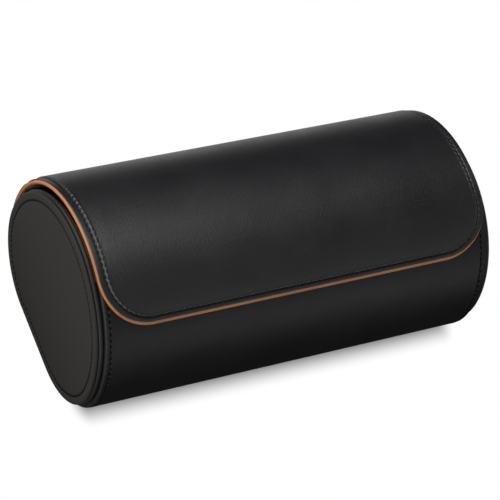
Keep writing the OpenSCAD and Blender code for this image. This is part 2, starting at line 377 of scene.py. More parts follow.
def paintMaterial():
    material, tree, shader = newMaterial("edgePaint")
    grain = useGroup(tree, grainGroup, {"Vector": placeVector(tree), "Grain Size": 0.0009})
    level = addNode(tree, "ShaderNodeAttribute", attribute_name="edgeLevel").outputs["Fac"]
    tone = mapRange(tree, grain.outputs["Tone"], 0.35, 0.6, curve="LINEAR")
    lower = mixColours(tree, tone, paint["thickDark"], paint["thick"])
    upper = mapRange(tree, level, paint["grooveLevel"], paint["grooveLevel"] + 0.15)
    layered = mixColours(tree, upper, lower, paint["thin"])
    # painted shade of the groove: a dark line where the two layers meet
    away = mathNode(tree, "ABSOLUTE", mathNode(tree, "SUBTRACT", level, paint["grooveLevel"]))
    line = mapRange(tree, away, 0.0, paint["grooveReach"], 1.0, 0.0)
    putIn(tree, shader.inputs["Base Color"], mixColours(tree, line, layered, paint["groove"]))
    toneRoughness(tree, shader, grain.outputs["Tone"], 0.42, 0.55)
    bumpFrom(tree, shader, raised(tree, grain.outputs["Height"], 0.02))
    setPlain(shader, Specular_IOR_Level=0.4)
    return material


finishes = {name: makeMaterial(name, look) for name, look in looks.items()}
finishes["edgePaint"] = paintMaterial()
print("materials made:", len(finishes))


# meshes

def addObject(name, data):
    obj = bpy.data.objects.new(name, data)
    bpy.context.scene.collection.objects.link(obj)
    return obj


def closedMesh(name, points, faces, skin=None, seam=None):
    # points in millimetres; skin is one UV for each point, seam one UV for each face corner
    mesh = bpy.data.meshes.new(name)
    mesh.from_pydata([(x * mm, y * mm, z * mm) for x, y, z in points], [], faces)
    if skin is not None:
        layer = mesh.uv_layers.new(name="skin")
        for loop in mesh.loops:
            u, v = skin[loop.vertex_index]
            layer.data[loop.index].uv = (u * mm, v * mm)
    if seam is not None:
        layer = mesh.uv_layers.new(name="seam")
        for i, (u, v) in enumerate(corner for face in seam for corner in face):
            layer.data[i].uv = (u * mm, v * mm)
    tidy = bmesh.new()
    tidy.from_mesh(mesh)
    bmesh.ops.remove_doubles(tidy, verts=tidy.verts, dist=1e-7)
    bmesh.ops.dissolve_degenerate(tidy, edges=tidy.edges, dist=1e-8)
    bmesh.ops.recalc_face_normals(tidy, faces=tidy.faces)
    tidy.to_mesh(mesh)
    tidy.free()
    mesh.shade_smooth()
    return addObject(name, mesh)


def planRows(plan):
    # rows of a cut sheet, as [s, direction of the edge's normal]
    start, end = plan["start"], plan["end"]
    low, high = plan["startCorner"], plan["endCorner"]
    steps = plan["cornerSteps"]
    rows = [(start, math.radians(-90 + 90 * i / steps)) for i in range(steps)]
    count = max(2, round((end - high - start - low) / plan["step"]))
    rows += [(start + low + (end - high - start - low) * i / count, 0.0) for i in range(count + 1)]
    rows += [(end, math.radians(90 * (i + 1) / steps)) for i in range(steps)]
    return rows


def rowPlace(plan, row, d):
    # s and half length of a row whose edge is taken in by d, and by the plan's endRim at the two ends
    s, f = row
    d += plan.get("endRim", 0.0) * math.sin(f) ** 2 * max(0.0, 1 - d / 2)
    start, end, half = plan["start"], plan["end"], plan["half"]
    if f == 0:
        low = start + max(plan["startCorner"], d)
        high = end - max(plan["endCorner"], d)
        return min(max(s, low), high), half - d
    r = plan["startCorner"] if f < 0 else plan["endCorner"]
    keep, centre = max(r - d, 0.0), max(r, d)
    base = start + centre if f < 0 else end - centre
    return base + keep * math.sin(f), half - centre + keep * math.cos(f)


def walkPlaces(plan, rows, d):
    # [s, x, normal angle] round the whole edge of a sheet, at the inset d
    columns = plan["columns"]
    places = []
    for row in rows:
        s, h = rowPlace(plan, row, d)
        places.append((s, -h, row[1]))
    s, h = rowPlace(plan, rows[-1], d)
    places += [(s, h * (2 * c / columns - 1), math.pi / 2) for c in range(1, columns)]
    for row in reversed(rows):
        s, h = rowPlace(plan, row, d)
        places.append((s, h, row[1]))
    s, h = rowPlace(plan, rows[0], d)
    places += [(s, h * (2 * c / columns - 1), -math.pi / 2) for c in range(columns - 1, 0, -1)]
    return places


def walked(line, pitch):
    # length walked along a seam, and the stretch that makes it a whole number of stitches
    way = [0.0]
    for a, b in zip(line, line[1:]):
        way.append(way[-1] + math.dist(a, b))
    return way, int(way[-1] / pitch) * pitch / way[-1]


def loopWay(line, pitch):
    # way at both ends of each step of a closed seam
    way, stretch = walked(line + line[:1], pitch)
    return [(a * stretch, b * stretch) for a, b in zip(way, way[1:])]


def runWay(line, start, end, pitch):
    # for an open seam: gives the way at any value of the line's own measure, which runs from start to end
    way, stretch = walked(line, pitch)
    at = np.linspace(start, end, len(line))

    def wayAt(value):
        beyond = min(value - start, 0.0) + max(value - end, 0.0)
        return (float(np.interp(value, at, way)) + beyond) * stretch

    return wayAt


def joinRings(ids, way, insets, faces, seam):
    # faces between each ring of points and the next, with their place along and across the sewn line
    for lower, upper, v0, v1 in zip(ids, ids[1:], insets, insets[1:]):
        for i, (u0, u1) in enumerate(way):
            k = (i + 1) % len(way)
            faces.append((lower[i], lower[k], upper[k], upper[i]))
            seam.append(((u0, v0), (u1, v0), (u1, v1), (u0, v1)))


def bentSheet(name, plan, profile, seamLine, seamWay, lift=None):
    # profile: [inset, height at the sides, height at the two ends] from below, round the rim, to above
    rows = planRows(plan)
    columns = plan["columns"]
    rings = [walkPlaces(plan, rows, d) for d, _, _ in profile]
    points, skin, faces, seam = [], [], [], []

    def addPoint(s, x, g):
        points.append(skinPoint(s, x, g + (lift(s, x) if lift else 0.0)))
        skin.append((x, s))
        return len(points) - 1

    ids = []
    for (d, side, end), ring in zip(profile, rings):
        ids.append([addPoint(s, x, side + (end - side) * abs(math.sin(f))) for s, x, f in ring])
    joinRings(ids, seamWay(walkPlaces(plan, rows, seamLine)), [d for d, _, _ in profile], faces, seam)
    # the two faces of the sheet, row by row
    m = len(rows)
    for ring, item in ((ids[0], profile[0]), (ids[-1], profile[-1])):
        grid = []
        for k in range(m):
            left, right = ring[k], ring[m + columns - 1 + m - 1 - k]
            if k == m - 1:
                grid.append([left] + ring[m:m + columns - 1] + [right])
            elif k == 0:
                grid.append([left] + list(reversed(ring[2 * m + columns - 1:])) + [right])
            else:
                s, h = rowPlace(plan, rows[k], item[0])
                f = rows[k][1]
                g = item[1] + (item[2] - item[1]) * abs(math.sin(f))
                inner = [addPoint(s, h * (2 * c / columns - 1), g) for c in range(1, columns)]
                grid.append([left] + inner + [right])
        for k in range(m - 1):
            for c in range(columns):
                faces.append((grid[k][c], grid[k][c + 1], grid[k + 1][c + 1], grid[k + 1][c]))
                seam.append(((0, item[0]),) * 4)
    return closedMesh(name, points, faces, skin, seam)


def outlineSteps(count):
    whole = circumference()
    return [whole * i / count for i in range(count)]


def endDisc(name, profile, side, seamLine, count=240, fieldRings=6):
    # profile: [inset, x from the middle plane of the case], from the inner face round the rim to the outer
    steps = outlineSteps(count)
    points, ids, faces, seam = [], [], [], []
    for d, x in profile:
        row = []
        for s in steps:
            y, z = outlinePoint(s, -d)
            points.append((side * x, y, z))
            row.append(len(points) - 1)
        ids.append(row)
    way = loopWay([outlinePoint(s, -seamLine) for s in steps], stitching["endPitch"])
    joinRings(ids, way, [d for d, _ in profile], faces, seam)
    # the two faces of the disc, ring by ring towards its middle
    middle = (case["forward"], case["cornerRadius"] + 6)
    for j in (0, len(profile) - 1):
        d, x = profile[j]
        outer = ids[j]
        for r in range(1, fieldRings):
            t = r / fieldRings
            row = []
            for i in range(count):
                _, y, z = points[ids[j][i]]
                points.append((side * x, y + (middle[0] - y) * t, z + (middle[1] - z) * t))
                row.append(len(points) - 1)
            for i in range(count):
                k = (i + 1) % count
                faces.append((outer[i], outer[k], row[k], row[i]))
                seam.append(((0, d + 9),) * 4)
            outer = row
        points.append((side * x, *middle))
        for i in range(count):
            faces.append((outer[i], outer[(i + 1) % count], len(points) - 1))
            seam.append(((0, d + 9),) * 3)
    return closedMesh(name, points, faces, None, seam)


# geometry nodes

def outwardWay(tree):
    # the direction that each point of a path carries
    return addNode(tree, "GeometryNodeInputNamedAttribute", {"Name": "outward"}, data_type="FLOAT_VECTOR")


def endTree(tree, geometry, start, end):
    real = addNode(tree, "GeometryNodeRealizeInstances", {"Geometry": geometry})
    finish = addNode(tree, "GeometryNodeSetMaterial", {"Geometry": real, "Material": start.outputs["Finish"]})
    putIn(tree, end.inputs[0], finish)
    return tree


def makeSweepTree():
    # sweeps a closed profile along a path that carries its own outward direction
    tree, start, end = newTree("sweepProfile", "GeometryNodeTree",
                               [("Path", "Geometry"), ("Profile", "Object"), ("Finish", "Material")],
                               [("Swept", "Geometry")])
    path = addNode(tree, "GeometryNodeMeshToCurve", {"Mesh": start.outputs["Path"]})
    turned = addNode(tree, "GeometryNodeSetCurveNormal", {"Curve": path, "Normal": outwardWay(tree)},
                     mode="FREE")
    shape = addNode(tree, "GeometryNodeObjectInfo", {"Object": start.outputs["Profile"]})
    profile = addNode(tree, "GeometryNodeMeshToCurve", {"Mesh": shape.outputs["Geometry"]})
    sweep = addNode(tree, "GeometryNodeCurveToMesh", {"Curve": turned, "Profile Curve": profile})
    smooth = addNode(tree, "GeometryNodeSetShadeSmooth", {"Geometry": sweep})
    return endTree(tree, smooth, start, end)


def makeStitchTree():
    # lays stitches end to end along a path: each is a short bowed thread that dips in at its ends
    tree, start, end = newTree("sewnLine", "GeometryNodeTree",
                               [("Path", "Geometry"), ("Pitch", "Float", 0.0027),
                                ("Stitch Length", "Float", 0.0021), ("Thread Radius", "Float", 0.00025),
                                ("Bow", "Float", 0.00045), ("Slant", "Float", 0.0), ("Seed", "Int", 3),
                                ("Finish", "Material")],
                               [("Stitches", "Geometry")])
    path = addNode(tree, "GeometryNodeMeshToCurve", {"Mesh": start.outputs["Path"]})
    spread = addNode(tree, "GeometryNodeResampleCurve", {"Curve": path, "Length": start.outputs["Pitch"]},
                     mode="LENGTH")
    dip = mathNode(tree, "MULTIPLY", start.outputs["Bow"], -0.45)
    bow = addNode(tree, "GeometryNodeCurveQuadraticBezier", {"Resolution": 5})
    top = start.outputs["Bow"]
    for key, share, height in (("Start", -0.5, dip), ("Middle", 0.0, top), ("End", 0.5, dip)):
        along = mathNode(tree, "MULTIPLY", start.outputs["Stitch Length"], share)
        place = addNode(tree, "ShaderNodeCombineXYZ", {"X": along, "Z": height})
        putIn(tree, bow.inputs[key], place)
    ring = addNode(tree, "GeometryNodeCurvePrimitiveCircle",
                   {"Resolution": 6, "Radius": start.outputs["Thread Radius"]})
    thread = addNode(tree, "GeometryNodeCurveToMesh",
                     {"Curve": bow, "Profile Curve": ring, "Fill Caps": True})
    smooth = addNode(tree, "GeometryNodeSetShadeSmooth", {"Geometry": thread})
    tangent = addNode(tree, "GeometryNodeInputTangent")
    facing = addNode(tree, "FunctionNodeAxesToRotation", {0: tangent, 1: outwardWay(tree)},
                     primary_axis="X", secondary_axis="Z")
    chance = addNode(tree, "FunctionNodeRandomValue", {2: -0.05, 3: 0.05, "Seed": start.outputs["Seed"]},
                     data_type="FLOAT")
    lean = mathNode(tree, "ADD", start.outputs["Slant"], chance.outputs[1])
    axis = addNode(tree, "FunctionNodeAxisAngleToRotation", {"Axis": (0, 0, 1), "Angle": lean})
    turned = addNode(tree, "FunctionNodeRotateRotation", {0: facing, 1: axis},
                     rotation_space="LOCAL")
    lay = addNode(tree, "GeometryNodeInstanceOnPoints",
                  {"Points": spread, "Instance": smooth, "Rotation": turned})
    return endTree(tree, lay, start, end)


sweepTree = makeSweepTree()
stitchTree = makeStitchTree()


def pathObject(name, lines):
    # lines: [points in mm, outward directions, closed]; the outward directions become an attribute
    points, edges, outward = [], [], []
    for line, directions, closed in lines:
        first = len(points)
        points += [(x * mm, y * mm, z * mm) for x, y, z in line]
        outward += list(directions)
        edges += [(first + i, first + i + 1) for i in range(len(line) - 1)]
        if closed:
            edges.append((len(points) - 1, first))
    mesh = bpy.data.meshes.new(name)
    mesh.from_pydata(points, edges, [])
    layer = mesh.attributes.new("outward", "FLOAT_VECTOR", "POINT")
    layer.data.foreach_set("vector", np.array(outward, np.float32).ravel())
    return addObject(name, mesh)


def growWith(obj, tree, name, **values):
    # runs a geometry node tree on a helper object and keeps the result as a plain mesh
    modifier = obj.modifiers.new(tree.name, "NODES")
    modifier.node_group = tree
    for item in tree.interface.items_tree:
        key = item.name.replace(" ", "_")
        if item.item_type == "SOCKET" and item.in_out == "INPUT" and key in values:
            modifier[item.identifier] = values[key]
    graph = bpy.context.evaluated_depsgraph_get()
    mesh = bpy.data.meshes.new_from_object(obj.evaluated_get(graph))
    mesh.name = name
    made = addObject(name, mesh)
    bpy.data.objects.remove(obj)
    clean = bmesh.new()
    clean.from_mesh(mesh)
    bmesh.ops.recalc_face_normals(clean, faces=clean.faces)
    clean.to_mesh(mesh)
    clean.free()
    return made


def profileObject(name, section, levels=None):
    # a closed section in millimetres; x points along the path's outward direction, y across it
    mesh = bpy.data.meshes.new(name)
    count = len(section)
    points = [(a * mm, b * mm, 0) for a, b in section]
    mesh.from_pydata(points, [(i, (i + 1) % count) for i in range(count)], [])
    if levels:
        layer = mesh.attributes.new("edgeLevel", "FLOAT", "POINT")
        layer.data.foreach_set("value", np.array(levels, np.float32))
    return addObject(name, mesh)


def sweepAlong(name, lines, section, finish, levels=None):
    profile = profileObject(name + "Profile", section, levels)
    path = pathObject(name + "Path", lines)
    piece = growWith(path, sweepTree, name, Profile=profile, Finish=finishes[finish])
    bpy.data.objects.remove(profile)
    return piece


def dress(obj, finish):
    obj.data.materials.clear()
    obj.data.materials.append(finishes[finish])
    return obj


def acrossHinge(obj):
    # leather, suede, paint and thread that run on over the fold
    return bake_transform(obj)


# the flap, with the sewn tab

flapSheet = {
    "start": flap["tabEnd"],
    "end": flap["end"],
    "half": flap["half"],
    "startCorner": flap["tabCorner"],
    "endCorner": flap["frontCorner"],
    "cornerSteps": 24,
    "columns": 36,
    "step": 1.5,
}
flapLook = {
    "seamInset": 2.6,
    "seamHeight": 2.34,
    "borderHeight": 2.56,
    "rimHeight": 2.56,
    "endRim": 0.95,        # how much further the leather's rim keeps from the cut edge at the two ends
    "fieldHeight": 3.12,
    "foldSink": 0.35,
    "foldWidth": 2.6,
}


def foldLift(s, x):
    middle = (flap["tabTop"] + flap["root"]) / 2
    return -flapLook["foldSink"] * math.exp(-((s - middle) / flapLook["foldWidth"]) ** 2)


def flapWay(places):
    return loopWay([skinPoint(s, x, flapLook["seamHeight"]) for s, x, _ in places], stitching["pitch"])


def makeFlapLeather():
    under, border, field = flap["leatherUnder"], flapLook["borderHeight"], flapLook["fieldHeight"]
    seam = flapLook["seamInset"]
    rim = flapLook["rimHeight"]
    # the rim lies on the paint; the skin swells up again beyond the sewn line
    top = [(-0.08, under + 0.2), (-0.15, rim - 0.19), (-0.14, rim - 0.1), (-0.05, rim - 0.03), (0.15, rim),
           (0.5, rim), (1.0, rim - 0.02), (1.6, border - 0.04),
           (seam - 0.55, border - 0.06), (seam - 0.35, border - 0.13), (seam - 0.18, border - 0.3),
           (seam, border - 0.36), (seam + 0.18, border - 0.28), (seam + 0.38, border - 0.02),
           (seam + 0.62, border + 0.32), (seam + 0.88, border + 0.52), (seam + 1.2, border + 0.58),
           (seam + 1.7, border + 0.55), (seam + 2.6, field - 0.03)]
    low = [(4.4, under + 0.01), (1.6, under + 0.01), (1.25, under + 0.12), (0.95, under + 0.22),
           (0.5, under + 0.2), (0.1, under + 0.15)]
    profile = [(d, g, g) for d, g in low + top] + [(5.95, field, field)]
    sheet = dict(flapSheet, endRim=flapLook["endRim"])
    piece = bentSheet("flapLeather", sheet, profile, seam, flapWay, foldLift)
    dress(piece, "flapLeather")
    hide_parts("flap_leather", "tab_leather", "hinge_fold")
    acrossHinge(piece)
    return piece


def makeFlapLining():
    under, top = flap["under"], flap["boardUnder"]
    profile = [(5.9, under), (3.8, under + 0.01), (3.05, under + 0.06), (2.6, under + 0.12),
               (2.15, under + 0.06), (1.5, under + 0.01), (0.5, under), (0.12, under + 0.03),
               (0.02, under + 0.12), (0.0, under + 0.25), (0.02, top - 0.06), (0.2, top - 0.01),
               (5.9, top - 0.01)]
    profile = [(d, g, g) for d, g in profile]
    piece = bentSheet("flapLining", flapSheet, profile, flapLook["seamInset"], flapWay)
    dress(piece, "liningSuede")
    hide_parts("flap_lining", "hinge_lining")
    acrossHinge(piece)
    return piece


def edgeDirection(s, x, f):
    # direction that points out of the sheet's edge, in the skin
    along = Vector(((-1 if x < 0 else 1) * math.cos(f), 0, 0))
    y0, z0 = outlinePoint(s - 0.05, 0)
    y1, z1 = outlinePoint(s + 0.05, 0)
    climb = Vector((0, y1 - y0, z1 - z0)).normalized()
    return along + climb * math.sin(f)


def makePaintedEdge():
    # section: out from the cut edge, and height above the skin
    section = [(-0.35, 0.36), (0.1, 0.3), (0.36, 0.38), (0.54, 0.56), (0.64, 0.82), (0.67, 1.12),
               (0.62, 1.42), (0.48, 1.68), (0.26, 1.87), (0.02, 1.98), (-0.2, 2.03), (-0.36, 2.04),
               (-0.45, 1.99), (-0.54, 2.06), (-0.68, 2.14), (-0.82, 2.19), (-0.96, 2.2), (-1.06, 2.17),
               (-1.08, 2.02), (-0.35, 2.01)]
    # below level 1 lies the thick lower layer of the paint, from 1 to 2 the thin upper one
    levels = [0.0, 0.05, 0.1, 0.15, 0.2, 0.3, 0.4, 0.5, 0.6, 0.7,
              0.8, 0.9, 1.0, 1.1, 1.3, 1.5, 1.7, 1.85, 1.95, 2.0]
    places = walkPlaces(flapSheet, planRows(flapSheet), 0.0)
    line = [skinPoint(s, x, 0) for s, x, _ in places]
    outward = [edgeDirection(*place) for place in places]
    section = [(out, -g) for out, g in section]
    piece = sweepAlong("paintedEdge", [(line, outward, True)], section, "edgePaint", levels)
    dress(piece, "edgePaint")
    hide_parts("flap_edge", "tab_edge")
    acrossHinge(piece)
    return piece


flapPieces = [makeFlapLeather(), makeFlapLining(), makePaintedEdge()]
print("flap made:", [len(p.data.polygons) for p in flapPieces])


# the body

cellPitch = (case["length"] - 2 * case["roomStart"] - 2 * case["divider"]) / 3 + case["divider"]
bodySheet = {
    "start": flap["lip"],
    "end": circumference() + flap["tabTop"],
    "half": case["length"] / 2 - case["panel"] - case["welt"],
    "startCorner": 0.4,
    "endCorner": 0.4,
    "cornerSteps": 3,
    "columns": 40,
    "step": 1.8,
}
liningSheet = dict(bodySheet, half=case["length"] / 2 - case["roomStart"],
                   start=flap["lip"] + 1.05, end=circumference() + flap["tabTop"] - 1.05)
bodyLook = {
    "seamInset": 2.2,
    "seamHeight": -0.2,
    "sideStart": 1.5,       # from the lip and from the back edge to the first stitch of the side seams
    "acrossInset": 2.8,     # of the straight seams along the lip and the back edge
}
sideStart = bodySheet["start"] + bodyLook["sideStart"]
sideEnd = bodySheet["end"] - bodyLook["sideStart"]
acrossHalf = bodySheet["half"] - bodyLook["seamInset"] - 1


def sideSeam(x):
    steps = [sideStart + (sideEnd - sideStart) * i / 160 for i in range(161)]
    line = [skinPoint(s, x, bodyLook["seamHeight"]) for s in steps]
    return line, [skinNormal(s) for s in steps], False


def acrossSeam(s):
    line = [skinPoint(s, acrossHalf * (i / 30 - 1), bodyLook["seamHeight"]) for i in range(61)]
    return line, [skinNormal(s)] * 61, False


def bodyWay(places):
    # along the sides the way is measured round the section, along the lip and the back edge across it
    sideWay = runWay(sideSeam(0.0)[0], sideStart, sideEnd, stitching["pitch"])
    acrossWay = runWay(acrossSeam(bodySheet["start"])[0], -acrossHalf, acrossHalf, stitching["pitch"])
    way = []
    for a, b in zip(places, places[1:] + places[:1]):
        if abs(a[1] - b[1]) < 1e-6:
            way.append((sideWay(a[0]), sideWay(b[0])))
        else:
            way.append((acrossWay(a[1]), acrossWay(b[1])))
    return way


def makeBodyLeather():
    seam = bodyLook["seamInset"]
    # inset, height at the welts, where it is turned down over the board, and height at the lip and the back
    profile = [(6.0, -0.95, -0.95), (1.08, -0.95, -0.95), (1.04, -1.6, -2.6), (0.9, -2.3, -3.74),
               (0.6, -2.9, -3.92), (0.25, -3.1, -3.86), (0.02, -3.12, -3.6), (-0.08, -3.05, -3.2),
               (-0.11, -2.3, -2.2), (-0.1, -1.4, -1.4), (-0.05, -1.0, -0.95), (0.08, -0.66, -0.62),
               (0.26, -0.38, -0.36), (0.5, -0.17, -0.16), (0.8, -0.05, -0.05), (1.15, 0.0, 0.0),
               (seam - 0.55, 0.03, 0.03), (seam - 0.25, -0.16, -0.16), (seam, -0.28, -0.28),
               (seam + 0.25, -0.16, -0.16), (seam + 0.55, 0.05, 0.05), (seam + 1.0, 0.1, 0.1),
               (seam + 2.0, 0.07, 0.07), (seam + 3.6, 0.08, 0.08)]
    piece = bentSheet("bodyLeather", bodySheet, profile, seam, bodyWay)
    dress(piece, "bodyLeather")
    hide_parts("body_leather")
    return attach(piece, "case")


def makeBodyLining():
    outer, inner = -case["wall"], -case["wallInside"]
    profile = [(4.0, inner, inner), (0.5, inner, inner), (0.15, inner + 0.05, inner + 0.05),
               (0.02, inner + 0.18, inner + 0.18), (0.0, inner + 0.35, inner + 0.35), (0.05, outer, outer),
               (4.0, outer, outer)]
    piece = bentSheet("bodyLining", liningSheet, profile, 2.0, bodyWay)
    dress(piece, "liningSuede")
    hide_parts("body_lining")
    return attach(piece, "case")


def makeWelts():
    # each welt is a leather-covered cord on a flat web that is glued between panel and body
    made = []
    radius = case["welt"] / 2 - 0.02
    seat = case["weltSeat"] - 0.02
    turns = [math.radians(a) for a in range(0, 181, 9)]
    section = [(radius * math.sin(a), radius * math.cos(a)) for a in turns]
    section += [(-seat, -radius), (-seat, radius)]
    steps = outlineSteps(300)
    outward = [skinNormal(s) for s in steps]
    for side, sideName in ((-1, "left"), (1, "right")):
        x = side * (case["length"] / 2 - case["panel"] - case["welt"] / 2)
        line = [skinPoint(s, x, case["weltSeat"] - case["wall"]) for s in steps]
        piece = sweepAlong(sideName + "Welt", [(line, outward, True)], section, "weltLeather")
        dress(piece, "weltLeather")
        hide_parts(sideName + "_welt")
        made.append(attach(piece, "case"))
    return made


endLook = {
    "seamInset": 3.85,      # from the panel's rim
    "seamHeight": 1.12,     # from its back
}


def makeEnds():
    made = []
    back = case["length"] / 2 - case["panel"]
    seam = endLook["seamInset"]
    panel = [(14.0, 0.0), (1.2, 0.0), (0.5, 0.08), (0.12, 0.32), (0.0, 0.72), (0.06, 1.06), (0.24, 1.34),
             (0.5, 1.5), (0.85, 1.59), (1.3, 1.6), (1.9, 1.55), (2.8, 1.47), (seam - 0.55, 1.4),
             (seam - 0.25, 1.16), (seam, 1.04), (seam + 0.25, 1.14), (seam + 0.6, 1.36), (seam + 1.3, 1.43),
             (seam + 3.0, 1.44), (14.0, 1.46)]
    panel = [(d + case["panelInset"], back + x) for d, x in panel]
    liningBack = case["length"] / 2 - case["roomStart"] + 0.6
    lining = [(14.0, liningBack - 0.6), (4.6, liningBack - 0.6), (4.1, liningBack - 0.58),
              (3.7, liningBack - 0.4), (3.5, liningBack - 0.05), (4.2, liningBack), (14.0, liningBack)]
    for side, sideName in ((-1, "left"), (1, "right")):
        piece = endDisc(sideName + "EndPanel", panel, side, seam + case["panelInset"])
        dress(piece, "endLeather")
        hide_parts(sideName + "_end_panel")
        made.append(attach(piece, "case"))
        piece = endDisc(sideName + "EndLining", lining, side, 8.0)
        dress(piece, "panelSuede")
        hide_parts(sideName + "_end_lining")
        made.append(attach(piece, "case"))
    return made


def makeDividers():
    made = []
    half = case["divider"] / 2
    inset = case["wallInside"] + 0.12
    rim = [(12.0, -half), (2.4, -half), (1.2, -half + 0.06), (0.5, -half + 0.32), (0.12, -half + 0.8),
           (0.0, 0.0), (0.12, half - 0.8), (0.5, half - 0.32), (1.2, half - 0.06), (2.4, half), (12.0, half)]
    for side, sideName in ((-1, "left"), (1, "right")):
        profile = [(d + inset, cellPitch / 2 + x) for d, x in rim]
        piece = endDisc(sideName + "Divider", profile, side, inset + 3.0, fieldRings=5)
        dress(piece, "panelSuede")
        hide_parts(sideName + "_divider_cover", sideName + "_divider_board")
        made.append(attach(piece, "case"))
    return made


bodyPieces = [makeBodyLeather(), makeBodyLining()] + makeWelts() + makeEnds() + makeDividers()
print("body made:", [len(p.data.polygons) for p in bodyPieces])


# stitches

def sheetSeam(plan, inset, height, downwards=False):
    places = walkPlaces(plan, planRows(plan), inset)
    line = [skinPoint(s, x, height) for s, x, _ in places]
    sign = -1 if downwards else 1
    outward = [[sign * v for v in skinNormal(s)] for s, _, _ in places]
    return line, outward, True


def faceSeam(x, inset, side):
    steps = outlineSteps(260)
    line = [(x, *outlinePoint(s, -inset)) for s in steps]
    return line, [(side, 0, 0)] * len(line), True


def sew(name, lines, pitch, length, thread, finish):
    path = pathObject(name + "Path", lines)
    return growWith(path, stitchTree, name, Pitch=pitch * mm, Stitch_Length=pitch * length * mm,
                    Thread_Radius=thread * mm, Bow=stitching["bow"] * mm, Slant=0.12, Seed=7,
                    Finish=finishes[finish])


def makeStitches():
    made = []
    pitch, length, thread = stitching["pitch"], stitching["length"], stitching["thread"]
    lines = [sheetSeam(flapSheet, flapLook["seamInset"], flapLook["seamHeight"])]
    border = sew("flapStitches", lines, pitch, length, thread, "blackThread")
    dress(border, "blackThread")
    acrossHinge(border)
    made.append(border)
    lines = [sheetSeam(flapSheet, flapLook["seamInset"], flap["under"] + 0.06, downwards=True)]
    inner = sew("flapLiningStitches", lines, pitch, length, thread * 0.8, "tanThread")
    dress(inner, "tanThread")
    acrossHinge(inner)
    made.append(inner)
    seam, inset = bodySheet["half"] - bodyLook["seamInset"], bodyLook["acrossInset"]
    lines = [sideSeam(-seam), sideSeam(seam),
             acrossSeam(bodySheet["start"] + inset), acrossSeam(bodySheet["end"] - inset)]
    piece = sew("bodyStitches", lines, pitch, length * 0.78, thread, "dullThread")
    dress(piece, "dullThread")
    made.append(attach(piece, "case"))
    x = case["length"] / 2 - case["panel"] + endLook["seamHeight"]
    lines = [faceSeam(side * x, endLook["seamInset"] + case["panelInset"], side) for side in (-1, 1)]
    pitch, length = stitching["endPitch"], stitching["endLength"]
    piece = sew("endStitches", lines, pitch, length, thread * 1.1, "dullThread")
    dress(piece, "dullThread")
    made.append(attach(piece, "case"))
    return made


threadPieces = makeStitches()
print("stitches made:", [len(p.data.polygons) for p in threadPieces])


# pillows

pillow = {
    "width": 70.0,
    "height": 50.0,
    "edge": 24.0,
    "length": 56.5,
    "bottom": 4.1,
    "slack": 1.6,          # how much smaller the cover starts than the space it fills
    "voxel": 5.0,
    "cloth": {"quality": 6, "mass": 0.25, "use_pressure": True, "uniform_pressure_force": 4.0},
    "frames": 20,          # of the cloth simulation
    "cap": 3.0,            # most that a point may move in it
    "give": 1.2,           # depth in which the cover is pressed flat against its space
    "seam": 5.5,           # from each end of the pillow
    "seamDepth": 0.9,
    "seamWidth": 0.9,
    "piping": 0.75,        # radius
    "fill": 0.75,
}


def pillowBlank():
    t = pillow["slack"]
    w, h = pillow["width"] / 2 - t, pillow["height"] / 2 - t
    r = pillow["edge"] - t
    half = pillow["length"] / 2 - t
    outline = []
    for cy, cz, a0 in ((w - r, h - r, 0), (-w + r, h - r, 90), (-w + r, -h + r, 180), (w - r, -h + r, 270)):
        for i in range(9):
            a = math.radians(a0 + 90 * i / 8)
            outline.append((cy + r * math.cos(a), cz + r * math.sin(a)))
    count = len(outline)
    stations = [(-half, 3.0), (-half + 0.9, 0.9), (-half + 3.0, 0.0),
                (half - 3.0, 0.0), (half - 0.9, 0.9), (half, 3.0)]
    points, faces = [], []
    for x, inset in stations:
        for y, z in outline:
            k = 1 - inset / math.hypot(y, z)
            points.append((x, y * k, z * k))
    for j in range(len(stations) - 1):
        for i in range(count):
            k = (i + 1) % count
            faces.append((j * count + i, j * count + k, (j + 1) * count + k, (j + 1) * count + i))
    for j, x in ((0, -half), (len(stations) - 1, half)):
        points.append((x, 0, 0))
        for i in range(count):
            faces.append((j * count + i, j * count + (i + 1) % count, len(points) - 1))
    return closedMesh("pillowBlank", points, faces)


def applyModifier(obj):
    graph = bpy.context.evaluated_depsgraph_get()
    mesh = bpy.data.meshes.new_from_object(obj.evaluated_get(graph))
    obj.modifiers.clear()
    old = obj.data
    obj.data = mesh
    bpy.data.meshes.remove(old)


def meshPoints(mesh):
    values = np.zeros(len(mesh.vertices) * 3, np.float32)
    mesh.vertices.foreach_get("co", values)
    return values.reshape(-1, 3)


def swell(obj):
    # blows the cover up with cloth pressure, keeps each point within the cap, and rounds it off
    remesh = obj.modifiers.new("even", "REMESH")
    remesh.mode = "VOXEL"
    remesh.voxel_size = pillow["voxel"] * mm
    applyModifier(obj)
    rest = meshPoints(obj.data).copy()
    cloth = obj.modifiers.new("cover", "CLOTH")
    for key, value in pillow["cloth"].items():
        setattr(cloth.settings, key, value)
    cloth.settings.effector_weights.gravity = 0.0
    cloth.point_cache.frame_start = 1
    cloth.point_cache.frame_end = pillow["frames"]
    scene = bpy.context.scene
    for moment in range(1, pillow["frames"] + 1):
        scene.frame_set(moment)
    graph = bpy.context.evaluated_depsgraph_get()
    swollen = bpy.data.meshes.new_from_object(obj.evaluated_get(graph))
    moved = meshPoints(swollen)
    obj.modifiers.clear()
    scene.frame_set(1)
    step = moved - rest
    length = np.linalg.norm(step, axis=1, keepdims=True)
    step *= np.minimum(1.0, pillow["cap"] * mm / np.maximum(length, 1e-9))
    rest = rest + step
    bpy.data.meshes.remove(swollen)
    obj.data.vertices.foreach_set("co", rest.astype(np.float32).ravel())
    subdivide = obj.modifiers.new("round", "SUBSURF")
    subdivide.levels = 2
    subdivide.render_levels = 2
    applyModifier(obj)


